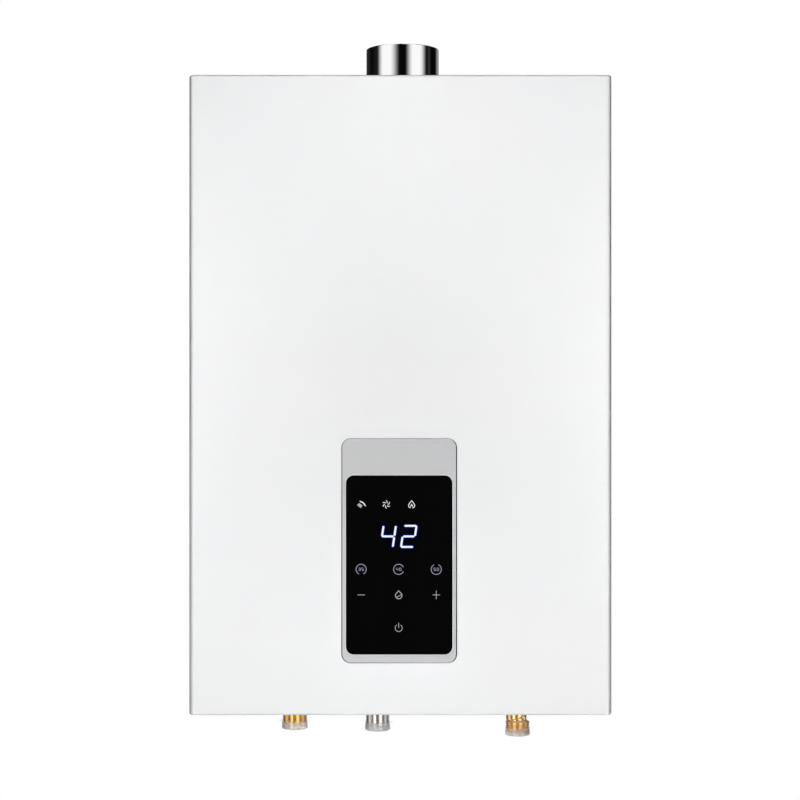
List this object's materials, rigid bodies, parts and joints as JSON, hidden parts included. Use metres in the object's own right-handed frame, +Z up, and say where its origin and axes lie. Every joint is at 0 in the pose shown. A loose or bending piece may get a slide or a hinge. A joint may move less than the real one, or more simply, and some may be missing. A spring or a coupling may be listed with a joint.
{
  "type": "gas water heater",
  "caption": "Wall-hung tankless gas water heater: white sheet-metal casing, black touch panel, top flue collar for forced exhaust, capped water and gas connectors below.",
  "frame": {"origin": "centre of the four wall holes, on the wall plane", "axes": "+Z up, +Y into the wall, the front faces -Y"},
  "size_m": [0.35, 0.144, 0.5987],
  "materials": {
    "white_paint": "smooth powder coat, satin",
    "galvanised_sheet": "galvanised sheet",
    "zinc_screw": "zinc plated",
    "polished_steel": "mirror polished stainless steel",
    "seal_rubber": "matte",
    "inner_sheet": "mill finish",
    "wheel_aluminium": "cast",
    "motor_black": "black lacquer",
    "copper": "bright copper",
    "brass": "cast and turned brass",
    "nickel_plate": "nickel plated",
    "cap_plastic": "milky translucent soft plastic",
    "inner_plastic": "moulded",
    "electrode_ceramic": "glazed ceramic",
    "circuit_board": "solder mask",
    "silver_plastic": "silver paint, fine satin",
    "black_glass": "black backed, polished"
  },
  "bodies": {
    "casing": {"front_cover": "white_paint", "back_chassis": "galvanised_sheet", "cover_screws": "zinc_screw", "flue_screws": "zinc_screw", "motor_screws": "zinc_screw", "connector_screws": "zinc_screw", "flue_collar": "polished_steel", "flue_gasket": "seal_rubber", "cord_gland": "seal_rubber", "smoke_hood": "inner_sheet", "fan_scroll": "inner_sheet", "fan_front_plate": "inner_sheet", "outlet_spigot": "inner_sheet", "exchanger_brackets": "inner_sheet", "burner_frame": "inner_sheet", "burner_bars": "inner_sheet", "gas_valve_body": "wheel_aluminium", "gas_manifold": "wheel_aluminium", "gas_riser": "wheel_aluminium", "fan_motor": "motor_black", "transformer": "motor_black", "shutoff_coil": "motor_black", "modulating_coil": "motor_black", "exchanger_box": "copper", "exchanger_fins": "copper", "exchanger_tube": "copper", "cold_pipe": "copper", "hot_pipe": "copper", "hot_outlet": "brass", "cold_inlet": "brass", "flow_sensor_body": "brass", "gas_jets": "brass", "gas_inlet": "nickel_plate", "pressure_switch": "inner_plastic", "overheat_cutouts": "inner_plastic", "flow_pickup": "inner_plastic", "inlet_strainer": "inner_plastic", "control_box": "inner_plastic", "control_box_lid": "inner_plastic", "igniter": "inner_plastic", "panel_housing": "inner_plastic", "digit_module": "inner_plastic", "electrodes": "electrode_ceramic", "control_board": "circuit_board", "display_board": "circuit_board", "touch_film": "circuit_board", "panel_bezel": "silver_plastic", "panel_glass": "black_glass"},
    "fan_rotor": {"fan_wheel": "wheel_aluminium", "motor_shaft": "inner_sheet"},
    "flow_rotor": {"flow_turbine": "inner_plastic"},
    "shutoff_valve": {"shutoff_plunger": "inner_sheet"},
    "modulating_valve": {"modulating_plunger": "inner_sheet"},
    "hot_cap": {"hot_cap": "cap_plastic"},
    "gas_cap": {"gas_cap": "cap_plastic"},
    "cold_cap": {"cold_cap": "cap_plastic"}
  },
  "joints": [
    {"name": "fan_spin", "type": "hinge", "parent": "casing", "child": "fan_rotor", "pos_m": [-0.0446, -0.066, 0.1888], "axis": [0, 1, 0], "continuous": true},
    {"name": "flow_spin", "type": "hinge", "parent": "casing", "child": "flow_rotor", "pos_m": [0.1034, -0.036, -0.222], "axis": [0, 0, 1], "continuous": true},
    {"name": "shutoff_lift", "type": "slide", "parent": "casing", "child": "shutoff_valve", "axis": [0, 0, 1], "range_m": [0, 0.003], "stiffness_N_per_m": 400, "springref_m": -0.002},
    {"name": "modulating_lift", "type": "slide", "parent": "casing", "child": "modulating_valve", "axis": [0, 0, 1], "range_m": [0, 0.003], "stiffness_N_per_m": 400, "springref_m": -0.002},
    {"name": "hot_cap_pull", "type": "slide", "parent": "casing", "child": "hot_cap", "axis": [0, 0, -1], "range_m": [0, 0.03]},
    {"name": "gas_cap_pull", "type": "slide", "parent": "casing", "child": "gas_cap", "axis": [0, 0, -1], "range_m": [0, 0.03]},
    {"name": "cold_cap_pull", "type": "slide", "parent": "casing", "child": "cold_cap", "axis": [0, 0, -1], "range_m": [0, 0.03]}
  ]
}
